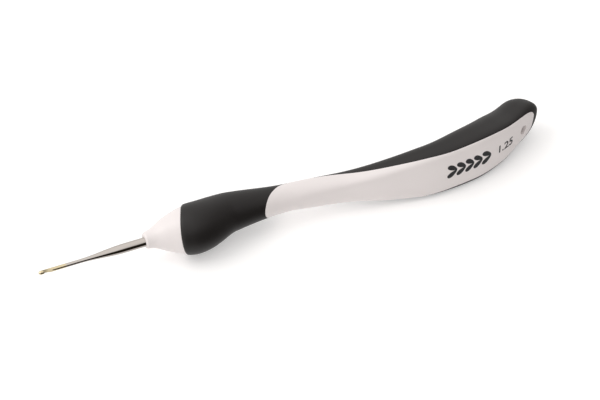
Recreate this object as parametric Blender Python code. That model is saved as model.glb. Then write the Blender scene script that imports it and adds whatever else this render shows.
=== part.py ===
"""A soft-grip crochet hook: a gold-tipped steel needle, a hard white handle core and a soft black grip moulded over it.

It is modelled in millimetres with the needle's axis on X and its tip at x = 0, then scaled to metres and moved so
that the origin is the bottom centre of its box. The handle bends only in the XY plane: its belly, with the flat
white face, is on the -Y side, and the hook's mouth opens the same way.
"""

import math
from collections import namedtuple

import bmesh
import bpy
import numpy as np
from mathutils import Matrix, Vector

MM = 0.001
CLEARANCE = 0.3
BEYOND = 20.0  # how far a cutter reaches past the handle

# Steel needle
HOOK_DIAMETER = 1.25
SHANK_DIAMETER = 2.9
HOOK_STRAIGHT = 13.0
TAPER_LENGTH = 14.0
NEEDLE_REACH = 33.5
TANG_LENGTH = 24.0
TIP_ROUND = 0.9
LIP_FROM_TIP = 1.7
THROAT_DEPTH = 0.75
MOUTH_LENGTH = 4.2

# White core
NOSE_LENGTH = 12.4
NOSE_FRONT_DIAMETER = 4.8
NOSE_LIP_DIAMETER = 6.1
NOSE_MIDDLE_DIAMETER = 10.4
HOLE_DIAMETER = 3.0
HOLE_FROM_TAIL = 10.0

# Soft grip
HANDLE_LENGTH = 136.0
GRIP_WALL = 1.8
GRIP_PROUD = 0.35
SLEEVE_FRONT_DIAMETER = 15.0
SLEEVE_FRONT_SLANT = 0.25
BULGE_DIAMETER = 15.8
NECK_DIAMETER = 8.5
TONGUE_FROM_NOSE = 38.3
PARTING_LEAN = 0.06
TAIL_ROUND = 8.0

# How finely the lofts are drawn
RING_POINTS = 40
PARTING_POINTS = 90
HOLE_SEGMENTS = 32
NEEDLE_SEGMENTS = 28
RING_STEP = 2.6
TAIL_RINGS = 8

# Section shape: 2 is an ellipse, and a higher power is flatter with tighter corners. The belly half flattens between
# two places, and both halves soften again towards the tail.
ROUND_UNTIL = 48.0
FLAT_FROM = 80.5
TAIL_SOFTENING = 22.0
FACE_POWER = 6.0
BACK_POWER = 2.3
TAIL_FACE_POWER = 2.4
TAIL_BACK_POWER = 2.7

Station = namedtuple("Station", "place sway height depth")

# Handle sections: how far behind the nose's front end, how far the middle sways to +Y, and the section's size
STATIONS = {
    "nose_front": Station(0.0, 0.5, NOSE_FRONT_DIAMETER + 2 * GRIP_PROUD, NOSE_FRONT_DIAMETER + 2 * GRIP_PROUD),
    "nose_lip": Station(2.6, 0.5, NOSE_LIP_DIAMETER + 2 * GRIP_PROUD, NOSE_LIP_DIAMETER + 2 * GRIP_PROUD),
    "flare": Station(7.0, 0.4, NOSE_MIDDLE_DIAMETER + 2 * GRIP_PROUD, NOSE_MIDDLE_DIAMETER + 2 * GRIP_PROUD),
    "sleeve_front": Station(NOSE_LENGTH, -0.1, SLEEVE_FRONT_DIAMETER, SLEEVE_FRONT_DIAMETER),
    "bulge": Station(NOSE_LENGTH + 3.0, -0.3, BULGE_DIAMETER, BULGE_DIAMETER),
    "shoulder": Station(28.5, 2.0, 12.3, 12.3),
    "neck": Station(ROUND_UNTIL, 0.9, NECK_DIAMETER, NECK_DIAMETER),
    "waist": Station(62.5, -0.9, 8.4, 8.4),
    "hip": Station(FLAT_FROM, -3.6, 12.6, 9.6),
    "belly": Station(HANDLE_LENGTH - 44.0, -4.3, 15.5, 10.6),
    "palm": Station(HANDLE_LENGTH - 29.0, -2.3, 16.3, 12.4),
    "thumb_rest": Station(HANDLE_LENGTH - 19.5, 0.6, 14.4, 12.8),
    "heel": Station(HANDLE_LENGTH - 11.5, 4.1, 11.7, 11.5),
    "tail": Station(HANDLE_LENGTH, 10.2, 11.2, 10.4),
}

# Parting line between white and black: how far behind the nose's front end, and how far behind the belly face. It
# leans with height, so the white reaches further back on the upper edge than on the lower.
PARTING = (
    (TONGUE_FROM_NOSE - 1.0, -1.0),
    (TONGUE_FROM_NOSE, 0.0),
    (TONGUE_FROM_NOSE + 3.5, 3.3),
    (TONGUE_FROM_NOSE + 9.0, 6.5),
    (TONGUE_FROM_NOSE + 14.0, 6.9),
    (59.0, 6.0),
    (70.0, 3.8),
    (80.5, 2.3),
    (90.0, 1.1),
    (HANDLE_LENGTH - 36.0, 0.65),
    (HANDLE_LENGTH - 14.0, 0.6),
    (HANDLE_LENGTH - 6.0, 0.3),
    (HANDLE_LENGTH, -0.15),
)


def smooth(xs, ys, at):
    """A smooth curve through (xs, ys) that doesn't overshoot, read at the places in at."""
    xs, ys, at = (np.asarray(v, float) for v in (xs, ys, at))
    step = np.diff(xs)
    rise = np.diff(ys) / step
    slope = np.zeros(len(xs))
    slope[0], slope[-1] = rise[0], rise[-1]
    same = rise[:-1] * rise[1:] > 0
    weight = (2 * step[1:] + step[:-1], step[1:] + 2 * step[:-1])
    inner = np.zeros(len(xs) - 2)
    inner[same] = (weight[0] + weight[1])[same] / (
        weight[0][same] / rise[:-1][same] + weight[1][same] / rise[1:][same]
    )
    slope[1:-1] = inner
    i = np.clip(np.searchsorted(xs, at) - 1, 0, len(xs) - 2)
    t = (at - xs[i]) / step[i]
    return (
        ys[i] * (1 + 2 * t) * (1 - t) ** 2
        + ys[i + 1] * t * t * (3 - 2 * t)
        + step[i] * (slope[i] * t * (1 - t) ** 2 + slope[i + 1] * t * t * (t - 1))
    )


def station_value(name, place):
    """One size of the handle, such as its sway, at a place behind the nose's front end."""
    rows = STATIONS.values()
    return float(smooth([row.place for row in rows], [getattr(row, name) for row in rows], place))


def middle_at(place):
    """The section's middle and its unit vector towards the belly, in the XY plane."""
    tiny = 0.05
    slope = (station_value("sway", place + tiny) - station_value("sway", place - tiny)) / (2 * tiny)
    middle = Vector((NEEDLE_REACH + place, station_value("sway", place), 0))
    return middle, Vector((slope, -1, 0)).normalized()


def tail_share(place):
    """1 along the handle, falling to 0 round its tail."""
    into = (place - (HANDLE_LENGTH - TAIL_ROUND)) / TAIL_ROUND
    return math.sqrt(max(0.0, 1 - max(0.0, into) ** 2))


def ramp(place, start, end):
    """0 up to start, 1 from end on, and even between them."""
    return min(1.0, max(0.0, (place - start) / (end - start)))


def section(place, inset):
    """One ring of the handle, inset from its skin: round in front, with a flat belly and a rounded back behind."""
    middle, belly = middle_at(place)
    share = tail_share(place)
    half_height = station_value("height", place) / 2 * share - inset
    half_depth = station_value("depth", place) / 2 * share - inset
    middle = middle + belly * (1 - share) * station_value("depth", place) / 4
    flatness = ramp(place, ROUND_UNTIL, FLAT_FROM)
    softness = ramp(place, HANDLE_LENGTH - TAIL_SOFTENING, HANDLE_LENGTH) ** 1.5
    face_power = FACE_POWER + (TAIL_FACE_POWER - FACE_POWER) * softness
    back_power = BACK_POWER + (TAIL_BACK_POWER - BACK_POWER) * softness
    ring = []
    for k in range(RING_POINTS):
        angle = 2 * math.pi * k / RING_POINTS
        end_power = face_power if math.cos(angle) > 0 else back_power
        power = 2 + (end_power - 2) * flatness
        across = math.copysign(abs(math.cos(angle)) ** (2 / power), math.cos(angle))
        up = math.copysign(abs(math.sin(angle)) ** (2 / power), math.sin(angle))
        ring.append(middle + belly * half_depth * across + Vector((0, 0, half_height * up)))
    return ring


def ring_places(start, end):
    """Places from start to end, closer together round the tail."""
    tail_start = HANDLE_LENGTH - TAIL_ROUND
    body_end = min(end, tail_start)
    count = math.ceil((body_end - start) / RING_STEP)
    places = list(np.linspace(start, body_end, count + 1))
    if end > tail_start:
        reach = math.asin(min(1.0, (end - tail_start) / TAIL_ROUND))
        turns = np.linspace(0, reach, TAIL_RINGS + 1)[1:]
        places += [tail_start + TAIL_ROUND * math.sin(turn) for turn in turns]
    return places


def loft(rings):
    """A closed mesh through rings of points: each ring is bridged to the last, and both ends are filled."""
    bm = bmesh.new()
    last_edges = []
    for i, ring in enumerate(rings):
        is_end = i in (0, len(rings) - 1)
        verts = bmesh.ops.create_circle(bm, cap_ends=is_end, radius=1, segments=len(ring))["verts"]
        for vert, point in zip(verts, ring, strict=True):
            vert.co = point
        edges = [bm.edges.get(pair) for pair in zip(verts, [*verts[1:], verts[0]])]
        if last_edges:
            bmesh.ops.bridge_loops(bm, edges=last_edges + edges)
        last_edges = edges
    bmesh.ops.recalc_face_normals(bm, faces=bm.faces)
    return bm


def turned(profile, segments):
    """A closed solid turned about X from (x, radius) points that start and end on the axis."""
    bm = bmesh.new()
    verts = [bm.verts.new((x, 0, radius)) for x, radius in profile]
    edges = [bm.edges.new(pair) for pair in zip(verts, verts[1:])]
    bmesh.ops.spin(
        bm,
        geom=verts + edges,
        cent=(0, 0, 0),
        axis=(1, 0, 0),
        angle=2 * math.pi,
        steps=segments,
        use_merge=True,
    )
    bmesh.ops.remove_doubles(bm, verts=bm.verts, dist=1e-4)
    bmesh.ops.recalc_face_normals(bm, faces=bm.faces)
    return bm


def prism(outline, half_thickness):
    """A closed slab with an outline in the XY plane, reaching half_thickness each way in Z."""
    bm = bmesh.new()
    face = bm.faces.new([bm.verts.new((x, y, -half_thickness)) for x, y in outline])
    bmesh.ops.extrude_face_region(bm, geom=[face])
    bm.verts.ensure_lookup_table()
    for vert in bm.verts[len(outline) :]:
        vert.co.z = half_thickness
    bmesh.ops.recalc_face_normals(bm, faces=bm.faces)
    return bm


def bar(start, end, radius, segments):
    """A closed round bar from start to end."""
    bm = bmesh.new()
    along = end - start
    bmesh.ops.create_cone(
        bm,
        cap_ends=True,
        segments=segments,
        radius1=radius,
        radius2=radius,
        depth=along.length,
        matrix=Matrix.Translation((start + end) / 2) @ along.to_track_quat("Z", "Y").to_matrix().to_4x4(),
    )
    return bm


def solid(name, bm):
    mesh = bpy.data.meshes.new(name)
    bm.to_mesh(mesh)
    bm.free()
    obj = bpy.data.objects.new(name, mesh)
    bpy.context.scene.collection.objects.link(obj)
    return obj


def combine(body, operation, *others):
    """Applies a Boolean with each of the other solids, which are then removed."""
    for other in others:
        modifier = body.modifiers.new(operation.lower(), "BOOLEAN")
        modifier.operation = operation
        modifier.object = other
    graph = bpy.context.evaluated_depsgraph_get()
    mesh = bpy.data.meshes.new_from_object(body.evaluated_get(graph))
    body.modifiers.clear()
    body.data = mesh
    for other in others:
        bpy.data.objects.remove(other)
    return body


def handle_loft(name, start, end, inset):
    """The handle's body between two places, inset from its skin."""
    return solid(name, loft([section(place, inset) for place in ring_places(start, end)]))


def white_side(name, gap):
    """A slab holding all that is on the belly side of the parting line, grown by gap."""
    places = [row[0] for row in PARTING]
    depths = [row[1] for row in PARTING]
    line = []
    for place in np.linspace(places[0], places[-1], PARTING_POINTS):
        middle, belly = middle_at(place)
        face = station_value("depth", place) / 2
        point = middle + belly * (face - float(smooth(places, depths, place)))
        line.append(point)
    outline = []
    for before, point, after in zip([line[0], *line], line, [*line[1:], line[-1]]):
        along = (after - before).normalized()
        outline.append(point + Vector((-along.y, along.x, 0)) * gap)
    last_along = (line[-1] - line[-2]).normalized()
    outline.append(outline[-1] + last_along * BEYOND)
    outline.append(Vector((outline[-1].x, outline[0].y - BEYOND, 0)))
    outline.append(Vector((outline[0].x, outline[0].y - BEYOND, 0)))
    bm = prism([point.xy for point in outline], BEYOND)
    for vert in bm.verts:
        vert.co.y += PARTING_LEAN * vert.co.z
    return solid(name, bm)


def nose_side(name, gap):
    """A slab holding all that is in front of the sleeve's slanted front edge, grown by gap."""
    middle, _ = middle_at(NOSE_LENGTH)
    reach = BEYOND * SLEEVE_FRONT_SLANT
    edge = middle.x + gap
    outline = ((edge - reach, -BEYOND), (edge + reach, BEYOND), (-BEYOND, BEYOND), (-BEYOND, -BEYOND))
    return solid(name, prism(outline, BEYOND))


def hanging_hole(name):
    """The bore through the tail, square to the belly face."""
    middle, belly = middle_at(HANDLE_LENGTH - HOLE_FROM_TAIL)
    reach = belly * BEYOND
    return solid(name, bar(middle - reach, middle + reach, HOLE_DIAMETER / 2, HOLE_SEGMENTS))


def hook_needle():
    """Turned steel: a rounded tip, a thin straight, a taper and a shank whose tang is held in the core."""
    radius = HOOK_DIAMETER / 2
    taper_end = HOOK_STRAIGHT + TAPER_LENGTH
    tip = [(TIP_ROUND * (1 - math.cos(turn)), radius * math.sin(turn)) for turn in np.linspace(0, math.pi / 2, 7)]
    taper = [
        (x, float(smooth((HOOK_STRAIGHT, taper_end), (radius, SHANK_DIAMETER / 2), x)))
        for x in np.linspace(HOOK_STRAIGHT, taper_end, 9)
    ]
    tang_end = NEEDLE_REACH + TANG_LENGTH
    needle = solid("hook_needle", turned([*tip, *taper, (tang_end, SHANK_DIAMETER / 2), (tang_end, 0)], NEEDLE_SEGMENTS))
    # The mouth is cut from the -Y side: an undercut lip near the tip, and a long ramp out of the throat.
    floor = radius - THROAT_DEPTH
    outline = (
        (LIP_FROM_TIP, -radius - 0.2),
        (LIP_FROM_TIP - 0.1, -radius + 0.15),
        (LIP_FROM_TIP - 0.45, -floor - 0.15),
        (LIP_FROM_TIP - 0.35, -floor - 0.03),
        (LIP_FROM_TIP - 0.1, -floor),
        (LIP_FROM_TIP + 0.5, -floor - 0.02),
        (LIP_FROM_TIP + MOUTH_LENGTH * 0.6, -radius + 0.12),
        (LIP_FROM_TIP + MOUTH_LENGTH, -radius - 0.2),
    )
    return combine(needle, "DIFFERENCE", solid("mouth_cutter", prism(outline, HOOK_DIAMETER)))


def handle_core():
    """Hard white plastic: a flared nose, a spine under the grip, and the belly band with its tongue end."""
    slant_reach = SLEEVE_FRONT_SLANT * BULGE_DIAMETER / 2
    core = handle_loft("handle_core", 0, NOSE_LENGTH + slant_reach, GRIP_PROUD)
    combine(core, "INTERSECT", nose_side("nose_cut", 0))
    spine = handle_loft("spine", NOSE_LENGTH / 2, HANDLE_LENGTH - GRIP_WALL, GRIP_WALL)
    belly = handle_loft("belly", TONGUE_FROM_NOSE - 4.0, HANDLE_LENGTH, 0)
    combine(belly, "INTERSECT", white_side("belly_side", 0))
    combine(core, "UNION", spine, belly)
    socket_end = Vector((NEEDLE_REACH + TANG_LENGTH + CLEARANCE, 0, 0))
    socket_start = Vector((NEEDLE_REACH - 1, 0, 0))
    socket = solid("socket", bar(socket_start, socket_end, SHANK_DIAMETER / 2 + CLEARANCE, NEEDLE_SEGMENTS))
    return combine(core, "DIFFERENCE", socket, hanging_hole("core_hole"))


def soft_grip():
    """Soft black elastomer: a full sleeve over the bulge, running on as a saddle over the back and round the tail."""
    slant_reach = SLEEVE_FRONT_SLANT * BULGE_DIAMETER / 2
    grip = handle_loft("soft_grip", NOSE_LENGTH - slant_reach, HANDLE_LENGTH, 0)
    spine = handle_loft("spine_space", NOSE_LENGTH / 2, HANDLE_LENGTH - GRIP_WALL + CLEARANCE, GRIP_WALL - CLEARANCE)
    spaces = [spine, nose_side("nose_space", CLEARANCE), white_side("belly_space", CLEARANCE)]
    return combine(grip, "DIFFERENCE", *spaces, hanging_hole("grip_hole"))


def paint(obj, name, colour, roughness, metallic=0.0):
    material = bpy.data.materials.new(name)
    material.use_nodes = True
    shader = material.node_tree.nodes["Principled BSDF"]
    shader.inputs["Base Color"].default_value = (*colour, 1)
    shader.inputs["Roughness"].default_value = roughness
    shader.inputs["Metallic"].default_value = metallic
    obj.data.materials.append(material)


def stand_on_origin(pieces):
    """Scales the pieces to metres, with the origin at the bottom centre of their box."""
    corners = np.array([vert.co for piece in pieces for vert in piece.data.vertices])
    low, high = corners.min(axis=0), corners.max(axis=0)
    origin = Vector(((low[0] + high[0]) / 2, (low[1] + high[1]) / 2, low[2]))
    for piece in pieces:
        piece.data.transform(Matrix.Scale(MM, 4) @ Matrix.Translation(-origin))
        piece.data.shade_smooth()
        piece.data.set_sharp_from_angle(angle=math.radians(35))


for old in list(bpy.data.objects):
    bpy.data.objects.remove(old)
needle, core, grip = hook_needle(), handle_core(), soft_grip()
paint(needle, "polished_steel", (0.72, 0.68, 0.62), 0.18, 1.0)
paint(core, "white_plastic", (0.82, 0.79, 0.77), 0.4)
paint(grip, "black_elastomer", (0.035, 0.03, 0.03), 0.55)
stand_on_origin([needle, core, grip])
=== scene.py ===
"""The looks of a soft-grip crochet hook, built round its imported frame: camera and light, the steel needle, the hard
white core, the black grip moulded over it, and the ink printed on the belly."""

import math

import bmesh
import bpy
import numpy as np
from mathutils import Matrix, Vector


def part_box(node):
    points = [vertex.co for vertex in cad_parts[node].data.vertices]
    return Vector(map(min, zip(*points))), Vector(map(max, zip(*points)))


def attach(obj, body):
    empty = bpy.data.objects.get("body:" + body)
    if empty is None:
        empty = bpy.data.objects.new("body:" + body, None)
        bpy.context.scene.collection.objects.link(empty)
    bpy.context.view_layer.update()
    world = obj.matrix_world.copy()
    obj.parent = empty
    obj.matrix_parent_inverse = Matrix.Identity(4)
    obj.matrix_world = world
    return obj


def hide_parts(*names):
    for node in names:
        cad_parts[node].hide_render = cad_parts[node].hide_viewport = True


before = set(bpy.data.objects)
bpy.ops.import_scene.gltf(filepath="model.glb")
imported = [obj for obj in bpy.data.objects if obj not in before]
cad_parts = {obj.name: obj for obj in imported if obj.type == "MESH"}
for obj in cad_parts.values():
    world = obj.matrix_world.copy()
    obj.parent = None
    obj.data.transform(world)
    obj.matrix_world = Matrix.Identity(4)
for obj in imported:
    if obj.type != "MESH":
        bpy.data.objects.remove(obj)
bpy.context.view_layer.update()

# ---------------------------------------------------------------------------------------------------------------
# Camera. The hook lies on its side, and the camera looks down on it over the belly face, with the tip to the left
# and the tail further away. A long lens keeps the handle's taper true.
needle_low, needle_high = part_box("hook_needle")
tip = Vector((needle_low.x, (needle_low.y + needle_high.y) / 2, (needle_low.z + needle_high.z) / 2))
camera_turn = math.radians(-24.39)
camera_height = math.radians(41.0)
camera_distance = 0.7
lens_length = 137.7
aim_from_tip = Vector((0.08366, -0.00175, 0))
camera_aim = tip + aim_from_tip
camera_back = Vector(
    (
        math.sin(camera_turn) * math.cos(camera_height),
        -math.cos(camera_turn) * math.cos(camera_height),
        math.sin(camera_height),
    )
)
camera_data = bpy.data.cameras.new("studio_camera")
camera_data.sensor_width = 36.0
camera_data.lens = lens_length
camera_data.clip_start = 0.01
camera_data.clip_end = 50.0
camera = bpy.data.objects.new("studio_camera", camera_data)
camera.location = camera_aim + camera_back * camera_distance
camera.rotation_mode = "QUATERNION"
camera.rotation_quaternion = camera_back.to_track_quat("Z", "Y")
bpy.context.scene.collection.objects.link(camera)
bpy.context.scene.camera = camera
bpy.context.scene.view_settings.view_transform = "Standard"


# ---------------------------------------------------------------------------------------------------------------
# Studio light. A white tent, dimmer on the right, lights the hook with a lamp at the upper left, and the white table
# glows a little. The tent is open towards the camera, low down, so polished steel shows one dark line there.
class Wire:
    """A shader socket that takes part in Python sums: each sum adds the Math node that works it out."""

    def __init__(self, shader, socket):
        self.shader = shader
        self.socket = socket

    def math(self, operation, *others):
        return self.shader.node("ShaderNodeMath", {"operation": operation}, {0: self, **dict(enumerate(others, 1))})

    def __add__(self, other):
        return self.math("ADD", other)

    __radd__ = __add__

    def __mul__(self, other):
        return self.math("MULTIPLY", other)

    __rmul__ = __mul__

    def __sub__(self, other):
        return self.math("SUBTRACT", other)

    def __rsub__(self, other):
        return (self * -1) + other

    def between(self, low, high):
        """0 at low, 1 at high, and a smooth step from one to the other."""
        settings = {"interpolation_type": "SMOOTHSTEP"}
        return self.shader.node("ShaderNodeMapRange", settings, {"Value": self, "From Min": low, "From Max": high})


class Shader:
    """A node tree that is being wired, for a material or for the world."""

    def __init__(self, owner):
        owner.use_nodes = True
        self.owner = owner
        self.tree = owner.node_tree
        self.tree.nodes.clear()

    def node(self, kind, settings=None, sockets=None, output=0):
        """Adds a node, makes its settings, then fills its input sockets with values or wires."""
        made = self.tree.nodes.new(kind)
        for name, value in (settings or {}).items():
            setattr(made, name, value)
        for name, value in (sockets or {}).items():
            if isinstance(value, Wire):
                self.tree.links.new(value.socket, made.inputs[name])
            else:
                made.inputs[name].default_value = value
        return Wire(self, made.outputs[output]) if made.outputs else None

    def mixed(self, share, first, second):
        """A colour that goes from first to second as share goes from 0 to 1."""
        sockets = {"Factor": share, 6: first, 7: second}
        return self.node("ShaderNodeMix", {"data_type": "RGBA"}, sockets, output=2)

    def place(self):
        return self.node("ShaderNodeTexCoord", output="Object")

    def noise(self, place, scale, detail=2.0):
        return self.node("ShaderNodeTexNoise", {}, {"Vector": place, "Scale": scale, "Detail": detail})

    def bump(self, strength, distance, height):
        return self.node("ShaderNodeBump", {}, {"Strength": strength, "Distance": distance, "Height": height})

    def surface(self, sockets):
        """Ends a material in one skin, made from its sockets."""
        skin = self.node("ShaderNodeBsdfPrincipled", {}, sockets)
        self.node("ShaderNodeOutputMaterial", {}, {"Surface": skin})


tent = bpy.data.worlds.new("white_tent")
bpy.context.scene.world = tent
tent_light = Shader(tent)
direction = tent_light.node("ShaderNodeTexCoord")


def facing(way):
    """How far the tent's wall lies along a way: 1 straight along it, and -1 straight against it."""
    sockets = {0: direction, 1: way}
    return tent_light.node("ShaderNodeVectorMath", {"operation": "DOT_PRODUCT"}, sockets, output="Value")


upwards = facing(Vector((0, 0, 1)))
beside_opening = facing(Vector((0.31, -0.95, 0)).normalized()).between(0.62, 0.76)
open_front = beside_opening * (1 - upwards.between(0.36, 0.52)) * upwards.between(-0.76, -0.60)
right_side = facing(Vector((0.97, -0.24, 0))).between(0.25, 0.85)
tent_wall = tent_light.mixed(upwards.between(0.2, 0.9), (0.88, 0.87, 0.86, 1), (1.12, 1.10, 1.09, 1))
tent_wall = tent_light.mixed(right_side, tent_wall, (0.30, 0.29, 0.285, 1))
tent_wall = tent_light.mixed(open_front, tent_wall, (0.02, 0.016, 0.012, 1))
seen_directly = tent_light.node("ShaderNodeLightPath", output="Is Camera Ray")
tent_colour = tent_light.mixed(seen_directly, tent_wall, (1, 1, 1, 1))
tent_glow = tent_light.node("ShaderNodeBackground", {}, {"Color": tent_colour, "Strength": 1.0})
tent_light.node("ShaderNodeOutputWorld", {}, {"Surface": tent_glow})

lamp_data = bpy.data.lights.new("upper_left_lamp", "AREA")
lamp_data.shape = "SQUARE"
lamp_data.size = 0.5
lamp_data.energy = 1.8
lamp_data.color = (1.0, 0.99, 0.98)
lamp = bpy.data.objects.new("upper_left_lamp", lamp_data)
lamp.location = camera_aim + Vector((-0.5, 0.15, 0.65))
lamp.rotation_mode = "QUATERNION"
lamp.rotation_quaternion = (lamp.location - camera_aim).to_track_quat("Z", "Y")
bpy.context.scene.collection.objects.link(lamp)

table_half = 4.0
table_bm = bmesh.new()
bmesh.ops.create_grid(table_bm, x_segments=4, y_segments=4, size=table_half)
table_mesh = bpy.data.meshes.new("table_sheet")
table_bm.to_mesh(table_mesh)
table_bm.free()
table = bpy.data.objects.new("table_sheet", table_mesh)
bpy.context.scene.collection.objects.link(table)
paper = Shader(bpy.data.materials.new("table_paper"))
paper_place = paper.place()
paper_grain = paper.noise(paper_place, 900.0)
paper.surface(
    {
        "Base Color": paper.mixed(paper_grain, (0.73, 0.725, 0.72, 1), (0.75, 0.745, 0.74, 1)),
        "Roughness": 0.85,
        "Specular IOR Level": 0.2,
        "Emission Color": (1.0, 0.99, 0.985, 1),
        "Emission Strength": 0.38,
    }
)
table.data.materials.append(paper.owner)
table.visible_glossy = False  # polished steel shows the opening below the horizon too


# ---------------------------------------------------------------------------------------------------------------
# Steel needle. One piece of turned and polished steel wire: a rounded tip with a cut mouth, a thin straight, a taper
# and a shank that is fixed in the handle. It is nickel plated, and its first 8 mm are gold plated over that.
def place_on_frame(bm):
    """Takes a mesh from millimetres behind the tip, with the needle on X, to metres in the frame."""
    bmesh.ops.transform(bm, matrix=Matrix.Translation(tip) @ Matrix.Scale(0.001, 4), verts=bm.verts)


sharp_edge = math.radians(40)


def shaded(mesh):
    """Shades a mesh smooth, apart from its sharp edges."""
    mesh.shade_smooth()
    mesh.set_sharp_from_angle(angle=sharp_edge)


def finished(name, bm, material):
    """Turns a bmesh into a smooth-shaded piece that moves with the hook's one body."""
    mesh = bpy.data.meshes.new(name)
    bm.to_mesh(mesh)
    bm.free()
    shaded(mesh)
    mesh.materials.append(material)
    piece = bpy.data.objects.new(name, mesh)
    bpy.context.scene.collection.objects.link(piece)
    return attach(piece, "root")


needle_reach = (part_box("handle_core")[0].x - tip.x) * 1000
wire_radius = 0.625
shank_radius = (needle_high.z - needle_low.z) / 2 * 1000
tip_round = 0.9
straight_end = 13.0
taper_end = 27.0
shank_end = needle_reach + 4.0
lip_from_tip = 1.7
throat_depth = 0.75
mouth_length = 4.2
gold_length = 8.3

tip_curve = [(tip_round * (1 - math.cos(t)), wire_radius * math.sin(t)) for t in np.linspace(0, math.pi / 2, 12)]
body_curve = [(x, wire_radius) for x in np.linspace(tip_round, straight_end, 16)[1:]]
taper_share = np.linspace(0, 1, 22)[1:]
taper_curve = [
    (straight_end + (taper_end - straight_end) * t, wire_radius + (shank_radius - wire_radius) * t * t * (3 - 2 * t))
    for t in taper_share
]
shank_curve = [(taper_end + 3.0, shank_radius), (shank_end, shank_radius), (shank_end, 0)]


def turned(profile):
    """A closed shape turned about X from (x, radius) points, which end on the axis or come back to the start."""
    bm = bmesh.new()
    line = [bm.verts.new((x, 0, radius)) for x, radius in profile]
    edges = [bm.edges.new(pair) for pair in zip(line, line[1:])]
    bmesh.ops.spin(
        bm, geom=line + edges, cent=(0, 0, 0), axis=(1, 0, 0), angle=2 * math.pi, steps=64, use_merge=True
    )
    bmesh.ops.remove_doubles(bm, verts=bm.verts, dist=1e-5)
    bmesh.ops.recalc_face_normals(bm, faces=bm.faces)
    return bm


needle_bm = turned(tip_curve + body_curve + taper_curve + shank_curve)
place_on_frame(needle_bm)

throat_floor = wire_radius - throat_depth
mouth_outline = [
    (lip_from_tip + 0.02, -wire_radius - 0.2),
    (lip_from_tip - 0.10, -wire_radius + 0.12),
    (lip_from_tip - 0.32, -throat_floor - 0.42),
    (lip_from_tip - 0.45, -throat_floor - 0.20),
    (lip_from_tip - 0.42, -throat_floor - 0.07),
    (lip_from_tip - 0.30, -throat_floor),
    (lip_from_tip - 0.10, -throat_floor + 0.02),
    (lip_from_tip + 0.50, -throat_floor - 0.02),
    (lip_from_tip + mouth_length * 0.3, -throat_floor - 0.14),
    (lip_from_tip + mouth_length * 0.6, -wire_radius + 0.14),
    (lip_from_tip + mouth_length * 0.85, -wire_radius + 0.02),
    (lip_from_tip + mouth_length, -wire_radius - 0.2),
]
mouth_bm = bmesh.new()
mouth_face = mouth_bm.faces.new([mouth_bm.verts.new((x, y, -1.0)) for x, y in mouth_outline])
mouth_wall = bmesh.ops.extrude_face_region(mouth_bm, geom=[mouth_face])["geom"]
bmesh.ops.translate(mouth_bm, verts=[v for v in mouth_wall if isinstance(v, bmesh.types.BMVert)], vec=(0, 0, 2.0))
bmesh.ops.recalc_face_normals(mouth_bm, faces=mouth_bm.faces)
place_on_frame(mouth_bm)


def cut(piece, cutter_bm):
    """Takes the cutter's shape out of a piece for good."""
    cutter_mesh = bpy.data.meshes.new("cutter")
    cutter_bm.to_mesh(cutter_mesh)
    cutter_bm.free()
    cutter = bpy.data.objects.new("cutter", cutter_mesh)
    bpy.context.scene.collection.objects.link(cutter)
    modifier = piece.modifiers.new("cut", "BOOLEAN")
    modifier.operation = "DIFFERENCE"
    modifier.object = cutter
    graph = bpy.context.evaluated_depsgraph_get()
    piece.data = bpy.data.meshes.new_from_object(piece.evaluated_get(graph))
    piece.modifiers.clear()
    bpy.data.objects.remove(cutter)


plating = Shader(bpy.data.materials.new("plated_steel"))
plating_place = plating.place()
along_needle = plating.node("ShaderNodeSeparateXYZ", {}, {0: plating_place})
polish_lines = plating.noise(
    plating.node("ShaderNodeMapping", {}, {"Vector": plating_place, "Scale": (150.0, 4000.0, 4000.0)}), 1.0, 3.0
)
plating_edge = plating.noise(plating_place, 1500.0)
gold_end = tip.x + gold_length / 1000
bare_nickel = (along_needle + plating_edge * 0.0008).between(gold_end, gold_end + 0.0012)
plating.surface(
    {
        "Base Color": plating.mixed(bare_nickel, (0.70, 0.60, 0.40, 1), (0.55, 0.51, 0.475, 1)),
        "Metallic": 1.0,
        "Roughness": polish_lines * 0.05 + 0.03,
        "Normal": plating.bump(0.12, 0.00002, polish_lines),
    }
)
needle = finished("needle", needle_bm, plating.owner)
cut(needle, mouth_bm)
shaded(needle.data)
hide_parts("hook_needle")


# ---------------------------------------------------------------------------------------------------------------
# White core, its nose. The core is one moulding of hard white plastic with a satin skin. Its nose flares like a
# trumpet from a small rounded ring, pressed onto the shank, to the sleeve of the grip, under which it goes on.
handle_length = 136.0
nose_length = 12.4
grip_proud = 0.35

# The handle's sections: place behind the nose's front, sway of the middle to +Y, height and depth
handle_rows = (
    (0.0, 0.5, 5.5, 5.5),
    (2.6, 0.5, 6.8, 6.8),
    (7.0, 0.4, 11.1, 11.1),
    (nose_length, -0.1, 15.0, 15.0),
    (nose_length + 3.0, -0.3, 15.8, 15.8),
    (28.5, 2.0, 12.3, 12.3),
    (48.0, 0.9, 8.5, 8.5),
    (62.5, -0.9, 8.4, 8.4),
    (80.5, -3.6, 12.6, 9.6),
    (handle_length - 44.0, -4.3, 15.5, 10.6),
    (handle_length - 29.0, -2.3, 16.3, 12.4),
    (handle_length - 19.5, 0.6, 14.4, 12.8),
    (handle_length - 11.5, 4.1, 11.7, 11.5),
    (handle_length, 10.2, 11.2, 10.4),
)
row_places, row_sways, row_heights, row_depths = np.array(handle_rows).T
tail_round = 8.0
round_until = 48.0
flat_from = 80.5
soft_from = handle_length - 22.0
face_power = 6.0
back_power = 2.3
tail_face_power = 2.4
tail_back_power = 2.7


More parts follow.
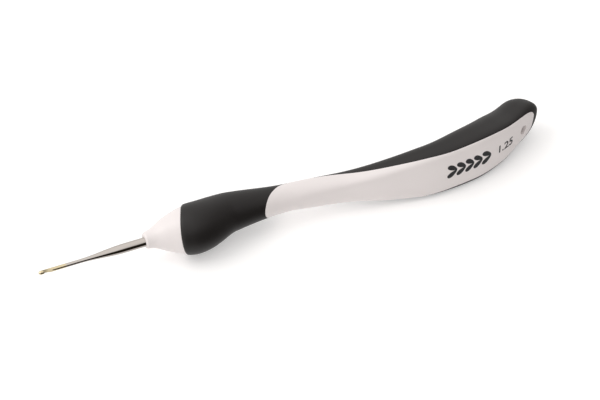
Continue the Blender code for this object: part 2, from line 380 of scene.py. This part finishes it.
def smooth(places, values, at):
    """A smooth curve through values at places that doesn't swing past them."""
    x, y, at = (np.asarray(numbers, float) for numbers in (places, values, at))
    gap = np.diff(x)
    rise = np.diff(y) / gap
    slope = np.concatenate([rise[:1], np.zeros(len(x) - 2), rise[-1:]])
    same = rise[:-1] * rise[1:] > 0
    first, second = 2 * gap[1:] + gap[:-1], gap[1:] + 2 * gap[:-1]
    even = (first + second)[same] / (first[same] / rise[:-1][same] + second[same] / rise[1:][same])
    slope[1:-1][same] = even
    i = np.clip(np.searchsorted(x, at) - 1, 0, len(x) - 2)
    t = (at - x[i]) / gap[i]
    ends = y[i] * (1 + 2 * t) * (1 - t) ** 2 + y[i + 1] * t * t * (3 - 2 * t)
    return ends + gap[i] * (slope[i] * t * (1 - t) ** 2 + slope[i + 1] * t * t * (t - 1))


def section_sizes(place):
    """The section at a place: its middle, its direction towards the belly, and its half sizes."""
    share = np.sqrt(1 - np.clip((place - (handle_length - tail_round)) / tail_round, 0, 1) ** 2)
    depth = smooth(row_places, row_depths, place) / 2
    height = smooth(row_places, row_heights, place) / 2
    step = 0.05
    before, after = (smooth(row_places, row_sways, place + side * step) for side in (-1, 1))
    slope = (after - before) / (2 * step)
    belly = np.stack([slope, -np.ones_like(slope)], axis=-1) / np.hypot(slope, 1)[..., None]
    middle = np.stack([needle_reach + place, smooth(row_places, row_sways, place)], axis=-1)
    middle = middle + belly * (depth * (1 - share) / 2)[..., None]
    return middle, belly, depth * share, height * share


def handle_point(place, angle, inset=0.0):
    """A point on the handle's skin: place behind the nose's front, and angle round from the belly, towards +Z."""
    place, angle = np.broadcast_arrays(np.asarray(place, float), np.asarray(angle, float))
    middle, belly, depth, height = section_sizes(place)
    depth, height = np.maximum(depth - inset, 0.001), np.maximum(height - inset, 0.001)
    across, up = np.cos(angle), np.sin(angle)
    flatness = np.clip((place - round_until) / (flat_from - round_until), 0, 1)
    softness = np.clip((place - soft_from) / (handle_length - soft_from), 0, 1) ** 1.5
    power_face = face_power + (tail_face_power - face_power) * softness
    power_back = back_power + (tail_back_power - back_power) * softness
    power = 2 + (np.where(across > 0, power_face, power_back) - 2) * flatness
    radius = (np.abs(across / depth) ** power + np.abs(up / height) ** power) ** (-1 / power)
    return np.concatenate([middle + belly * (radius * across)[..., None], (radius * up)[..., None]], axis=-1)


def skin_normals(points, inside):
    """Outward directions of a grid of points, pointing away from the inside points."""
    normal = np.cross(np.gradient(points, axis=1), np.gradient(points, axis=0))
    size = np.linalg.norm(normal, axis=-1, keepdims=True)
    normal /= np.maximum(size, 1e-12)
    normal *= np.sign(((points - inside) * normal).sum(axis=-1, keepdims=True))
    for row, neighbour in ((0, 1), (-1, -2)):
        if size[row].max() < 1e-9:  # a row that is one point takes its neighbours' direction
            together = normal[neighbour].mean(axis=0)
            normal[row] = together / np.linalg.norm(together)
    return normal


pole_size = 0.004  # points closer than this are one point


def skin_sheet(points, inner_points=None):
    """Lays a grid on the points, which come in rows along the handle, and closes its seam and its pole. With inner
    points too, the grid becomes a wall between the two."""
    rows, columns = points.shape[:2]
    bm = bmesh.new()
    bmesh.ops.create_grid(bm, x_segments=rows - 1, y_segments=columns - 1, size=1)
    inner = bm.verts.layers.float_vector.new("inner")
    for vert in bm.verts:
        row = round((vert.co.x + 1) / 2 * (rows - 1))
        column = round((vert.co.y + 1) / 2 * (columns - 1))
        vert.co = points[row, column]
        vert[inner] = (points if inner_points is None else inner_points)[row, column]
    bmesh.ops.remove_doubles(bm, verts=bm.verts, dist=pole_size)
    bmesh.ops.recalc_face_normals(bm, faces=bm.faces)
    if sum(face.normal.z * face.calc_center_median().z for face in bm.faces) < 0:
        bmesh.ops.reverse_faces(bm, faces=bm.faces)
    if inner_points is not None:
        made = bmesh.ops.extrude_face_region(bm, geom=bm.faces[:], use_keep_orig=True)["geom"]
        for vert in made:
            if isinstance(vert, bmesh.types.BMVert):
                vert.co = vert[inner]
        bmesh.ops.recalc_face_normals(bm, faces=bm.faces)
    bm.verts.layers.float_vector.remove(inner)
    return bm


nose_angles = np.linspace(0, 2 * math.pi, 129)
nose_round = 0.9
nose_under_sleeve = 3.0
nose_wall = 3.0
nose_end = nose_length + nose_under_sleeve
socket_radius = shank_radius + 0.005
socket_depth = 3.0


def needle_circle(x, radius):
    """A ring of the socket, round the needle's axis."""
    across, up = -radius * np.cos(nose_angles), radius * np.sin(nose_angles)
    return np.stack([np.full_like(nose_angles, x), across, up], axis=-1)


front_ring = handle_point(nose_round, nose_angles, grip_proud)
front_inwards = np.array([*section_sizes(np.array(0.0))[0], 0]) - front_ring
flat_ring = front_ring + front_inwards * nose_round / np.linalg.norm(front_inwards[0])
nose_rings = [
    needle_circle(needle_reach + socket_depth, socket_radius),
    needle_circle(needle_reach + 0.15, socket_radius),
    needle_circle(needle_reach + 0.02, socket_radius + 0.01),
    needle_circle(needle_reach, socket_radius + 0.04),
]
for turn in np.linspace(0, math.pi / 2, 8):
    rounded = flat_ring + (front_ring - flat_ring) * math.sin(turn)
    rounded[:, 0] = needle_reach + nose_round * (1 - math.cos(turn))
    nose_rings.append(rounded)
nose_rings += [handle_point(place, nose_angles, grip_proud) for place in np.linspace(nose_round, nose_end, 50)[1:]]
nose_rings += [handle_point(nose_end, nose_angles, nose_wall), nose_rings[0]]
nose_bm = skin_sheet(np.array(nose_rings))
place_on_frame(nose_bm)

white = Shader(bpy.data.materials.new("satin_white_plastic"))
white_place = white.place()
flow_marks = white.noise(white_place, 60.0, 3.0)
mould_grain = white.noise(white_place, 3200.0, 3.0)
mould_ripple = white.noise(white_place, 420.0, 1.0)
white.surface(
    {
        "Base Color": white.mixed(flow_marks, (0.78, 0.73, 0.72, 1), (0.81, 0.76, 0.75, 1)),
        "Roughness": mould_grain * 0.16 + 0.30,
        "IOR": 1.46,
        "Normal": white.bump(0.25, 0.00001, mould_grain * 0.5 + mould_ripple * 2.0),
    }
)
nose = finished("core_nose", nose_bm, white.owner)
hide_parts("handle_core")


# ---------------------------------------------------------------------------------------------------------------
# White core, its belly band. Behind the sleeve the core comes to the surface: a rounded tongue that wraps most of
# the neck and then runs out as the flat belly face, with the hanging hole bored through it near the tail.
tongue_tip = 38.3
parting_rows = (
    (tongue_tip - 1.0, -1.0),
    (tongue_tip, 0.0),
    (tongue_tip + 3.5, 3.3),
    (tongue_tip + 9.0, 6.5),
    (tongue_tip + 14.0, 6.9),
    (59.0, 6.0),
    (70.0, 3.8),
    (80.5, 2.3),
    (90.0, 1.1),
    (handle_length - 36.0, 0.65),
    (handle_length - 14.0, 0.6),
    (handle_length - 6.0, 0.3),
    (handle_length, -0.15),
)
parting_places, parting_depths = np.array(parting_rows).T
parting_lean = 0.06
tongue_before = 0.01  # the lean brings its tip this much nearer the nose
tongue_stretch = 6.0  # its rows are closest at the tip, where it is roundest
wall_thickness = 1.2
band_ease = 0.12
band_border = 0.04


def past_parting(place, angle):
    """How far a point of the skin stands out on the white side of the parting line."""
    middle = np.stack([needle_reach + place, smooth(row_places, row_sways, place)], axis=-1)
    face = smooth(row_places, row_depths, place) / 2 - smooth(parting_places, parting_depths, place)
    point = handle_point(place, angle)
    belly = section_sizes(place)[1]
    return ((point[..., :2] - middle) * belly).sum(axis=-1) - face + parting_lean * point[..., 2]


def parting_angles(place):
    """The white's lower and upper edge at each place, as angles round from the belly: equal where it has none."""
    around = np.linspace(-math.pi, math.pi, 361)
    grid_place, grid_angle = np.meshgrid(place, around, indexing="ij")
    furthest = around[np.argmax(past_parting(grid_place, grid_angle), axis=1)]
    edges = []
    for side in (-1, 1):
        white_angle, black_angle = furthest, furthest + side * math.pi
        for _ in range(40):
            halfway = (white_angle + black_angle) / 2
            is_white = past_parting(place, halfway) > 0
            white_angle = np.where(is_white, halfway, white_angle)
            black_angle = np.where(is_white, black_angle, halfway)
        edges.append(white_angle)
    return edges


def ease_edges(points, normals, edge_line, radius):
    """Rounds a skin off where it comes within radius of its edge line."""
    flat_points = points.reshape(-1, 3)
    distance = np.full(len(flat_points), 1e9)
    for stretch in np.array_split(edge_line, max(1, len(edge_line) // 60)):
        gap = np.linalg.norm(flat_points[:, None, :] - stretch[None, :, :], axis=2).min(axis=1)
        distance = np.minimum(distance, gap)
    near = np.clip(1 - distance / radius, 0, 1)
    drop = radius * (1 - np.sqrt(1 - near**2))
    return points - normals * drop.reshape(points.shape[:-1])[..., None]


def section_middles(places):
    """The sections' middles, as points inside the skin."""
    middles = section_sizes(places)[0]
    return np.concatenate([middles, np.zeros((*middles.shape[:-1], 1))], axis=-1)


tail_turns = np.linspace(0, math.pi / 2, 26)[1:]
tail_places = handle_length - tail_round + tail_round * np.sin(tail_turns)
tongue_places = tongue_tip - tongue_before + tongue_stretch * np.linspace(0, 1, 40) ** 2
body_places = np.linspace(tongue_places[-1], handle_length - tail_round, 230)[1:]
band_places = np.concatenate([tongue_places, body_places, tail_places])
edge_share = np.array([0, 0.03, 0.07, 0.13, 0.22, 0.35, 0.6, 1.0])
band_inside = np.linspace(band_border - 1, 1 - band_border, 49)[1:-1]
band_columns = np.concatenate([edge_share * band_border - 1, band_inside, 1 - edge_share[::-1] * band_border])
band_low, band_high = parting_angles(band_places)
white_rows = slice(0, np.flatnonzero(band_high - band_low > 1e-6)[-1] + 2)  # ends where its edges meet
band_middles, band_halves = (band_low + band_high)[white_rows] / 2, (band_high - band_low)[white_rows] / 2
band_angles = band_middles[:, None] + band_halves[:, None] * band_columns[None, :]
band_grid = band_places[white_rows, None] + np.zeros_like(band_angles)
band_points = handle_point(band_grid, band_angles)
parting_line = np.concatenate([band_points[:, 0], band_points[:, -1]])
band_normals = skin_normals(band_points, section_middles(band_grid))
band_inner = band_points - band_normals * wall_thickness
band_bm = skin_sheet(ease_edges(band_points, band_normals, parting_line, band_ease), band_inner)
place_on_frame(band_bm)
band = finished("core_belly_band", band_bm, white.owner)
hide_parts("handle_core")

hole_place = handle_length - 10.0
hole_radius = 1.5
mouth_round = 0.3
drill_before = 1.0
drill_beyond = 2.0
liner_wall = 0.5
liner_overlap = 0.1
bore_start = Vector(handle_point(hole_place, 0.0))
bore_end = Vector(handle_point(hole_place, math.pi))
bore_length = (bore_end - bore_start).length


def along_bore(bm):
    """Moves a shape turned about X onto the bore, with x = 0 at the belly face, and places it on the frame."""
    turn = (bore_end - bore_start).to_track_quat("X", "Z").to_matrix().to_4x4()
    bmesh.ops.transform(bm, matrix=Matrix.Translation(bore_start) @ turn, verts=bm.verts)
    place_on_frame(bm)
    return bm


rim = [
    (mouth_round * (1 - math.cos(turn)), hole_radius + mouth_round * (1 - math.sin(turn)))
    for turn in np.linspace(0, math.pi / 2, 6)
]
bore = [
    (-drill_before, 0),
    (-drill_before, hole_radius + mouth_round),
    *rim,
    (bore_length + drill_beyond, hole_radius),
    (bore_length + drill_beyond, 0),
]
cut(band, along_bore(turned(bore)))
liner_start = wall_thickness - liner_overlap
liner_end = bore_length - wall_thickness + liner_overlap
liner = [
    (liner_start, hole_radius),
    (liner_end, hole_radius),
    (liner_end, hole_radius + liner_wall),
    (liner_start, hole_radius + liner_wall),
    (liner_start, hole_radius),
]
bore_wall = finished("core_bore_wall", along_bore(turned(liner)), white.owner)
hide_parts("handle_core")


# ---------------------------------------------------------------------------------------------------------------
# Soft grip. One shot of soft black elastomer over the core: a full sleeve with a rounded, slanted front edge, then a
# strip along the back of the neck that widens to cover the back, both edges and the tail.
front_slant = 0.30
front_lean = 0.135
front_ease = 1.0
sleeve_radius = 7.5
sleeve_steps = 60
parting_ease = 0.2
grip_border = 0.03
sleeve_share = np.linspace(0, 1, sleeve_steps) ** 1.2
grip_inside = np.linspace(grip_border, 1 - grip_border, 97)[1:-1]
grip_columns = np.concatenate([edge_share * grip_border, grip_inside, 1 - edge_share[::-1] * grip_border])
open_places = np.concatenate([np.full(sleeve_steps, band_places[0]), band_places[1:]])
seam = band_high[0]
open_from = np.concatenate([np.full(sleeve_steps, seam), band_high[1:]])
open_to = np.concatenate([np.full(sleeve_steps, seam), band_low[1:]]) + 2 * math.pi
grip_angles = open_from[:, None] + (open_to - open_from)[:, None] * grip_columns[None, :]
front_cut = front_slant * np.cos(grip_angles[0]) + front_lean * np.sin(grip_angles[0])
front_places = nose_length - sleeve_radius * front_cut
grip_grid = open_places[:, None] + np.zeros_like(grip_angles)
grip_grid[:sleeve_steps] = front_places + (band_places[0] - front_places) * sleeve_share[:, None]
grip_points = handle_point(grip_grid, grip_angles)
grip_normals = skin_normals(grip_points, section_middles(grip_grid))
grip_edged = ease_edges(grip_points, grip_normals, grip_points[0], front_ease)
grip_inner = grip_points - grip_normals * wall_thickness
grip_bm = skin_sheet(ease_edges(grip_edged, grip_normals, parting_line, parting_ease), grip_inner)
place_on_frame(grip_bm)
rubber = Shader(bpy.data.materials.new("soft_black_elastomer"))
rubber_place = rubber.place()
rubber_grain = rubber.noise(rubber_place, 5200.0, 2.0)
rubber_patches = rubber.noise(rubber_place, 90.0, 3.0)
rubber.surface(
    {
        "Base Color": rubber.mixed(rubber_patches, (0.0110, 0.0092, 0.0086, 1), (0.0140, 0.0118, 0.0112, 1)),
        "Roughness": rubber_grain * 0.12 + 0.42,
        "Specular IOR Level": 0.38,
        "Normal": rubber.bump(0.3, 0.00002, rubber_grain),
    }
)
grip = finished("grip", grip_bm, rubber.owner)
cut(grip, along_bore(turned(bore)))
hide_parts("soft_grip")


# ---------------------------------------------------------------------------------------------------------------
# Print. A row of chain stitches and the hook's size in millimetres, pad printed on the belly in one pass of dark
# ink, which stands a few hundredths of a millimetre proud.
ink_proud = 0.04
ink_sunk = 0.02
print_middle = (103.7, 0.7)
stitch_count = 5
stitch_pitch = 3.0
lobe_length = 3.7
lobe_width = 1.65
lobe_gap = 0.1
lobe_lean = math.radians(36)
lobe_taper = 0.35
size_middle = (117.0, 0.45)
size_height = 2.8
size_bolder = 0.05
font_to_height = 1.4


def on_face(place, height, proud):
    """A point on or over the belly, at a place along the handle and a height from its middle."""
    low, high = np.full_like(place, -math.pi / 2), np.full_like(place, math.pi / 2)
    for _ in range(40):
        halfway = (low + high) / 2
        is_below = handle_point(place, halfway)[..., 2] < height
        low, high = np.where(is_below, halfway, low), np.where(is_below, high, halfway)
    outward = section_sizes(place)[1] * proud[..., None]
    return handle_point(place, low) + np.concatenate([outward, np.zeros((len(place), 1))], axis=-1)


def printed(name, bm, middle):
    """Wraps a flat print, drawn in XY and thick in Z, onto the belly round its middle."""
    drawn = np.array([vert.co for vert in bm.verts])
    proud = np.where(drawn[:, 2] > 0, ink_proud, -ink_sunk)
    for vert, point in zip(bm.verts, on_face(drawn[:, 0] + middle[0], drawn[:, 1] + middle[1], proud), strict=True):
        vert.co = point
    bmesh.ops.recalc_face_normals(bm, faces=bm.faces)
    place_on_frame(bm)
    return finished(name, bm, ink.owner)


ink = Shader(bpy.data.materials.new("dark_print_ink"))
ink_place = ink.place()
ink_grain = ink.noise(ink_place, 6000.0)
ink_cover = ink.noise(ink_place, 1400.0, 3.0)
ink.surface(
    {
        "Base Color": ink.mixed(ink_cover, (0.012, 0.012, 0.013, 1), (0.030, 0.030, 0.032, 1)),
        "Roughness": ink_grain * 0.2 + 0.35,
        "Normal": ink.bump(0.3, 0.00001, ink_grain),
    }
)

stitch_bm = bmesh.new()
for count in range(stitch_count):
    for side in (-1, 1):
        lobe = bmesh.ops.create_circle(stitch_bm, cap_ends=True, radius=1, segments=32)["verts"]
        for vert in lobe:
            vert.co.y *= 1 - lobe_taper * vert.co.x
        start = (count - (stitch_count - 1) / 2) * stitch_pitch
        shape = (
            Matrix.Translation((start, side * (lobe_length * math.sin(lobe_lean) + lobe_gap) / 2, 0))
            @ Matrix.Rotation(-side * lobe_lean, 4, "Z")
            @ Matrix.Diagonal((lobe_length / 2, lobe_width / 2, 1, 1))
        )
        bmesh.ops.transform(stitch_bm, matrix=shape, verts=lobe)
stitch_tops = bmesh.ops.extrude_face_region(stitch_bm, geom=stitch_bm.faces[:], use_keep_orig=True)["geom"]
bmesh.ops.translate(
    stitch_bm, verts=[vert for vert in stitch_tops if isinstance(vert, bmesh.types.BMVert)], vec=(0, 0, 1)
)
printed("stitch_print", stitch_bm, print_middle)

size_curve = bpy.data.curves.new("size_text", "FONT")
size_curve.body = "1.25"
size_curve.align_x = "CENTER"
size_curve.align_y = "CENTER"
size_curve.size = size_height * font_to_height
size_curve.extrude = 0.5
size_curve.offset = size_bolder
size_curve.resolution_u = 6
size_text = bpy.data.objects.new("size_text", size_curve)
bpy.context.scene.collection.objects.link(size_text)
size_bm = bmesh.new()
size_bm.from_mesh(bpy.data.meshes.new_from_object(size_text.evaluated_get(bpy.context.evaluated_depsgraph_get())))
bpy.data.objects.remove(size_text)
bmesh.ops.remove_doubles(size_bm, verts=size_bm.verts, dist=1e-4)
printed("size_print", size_bm, size_middle)
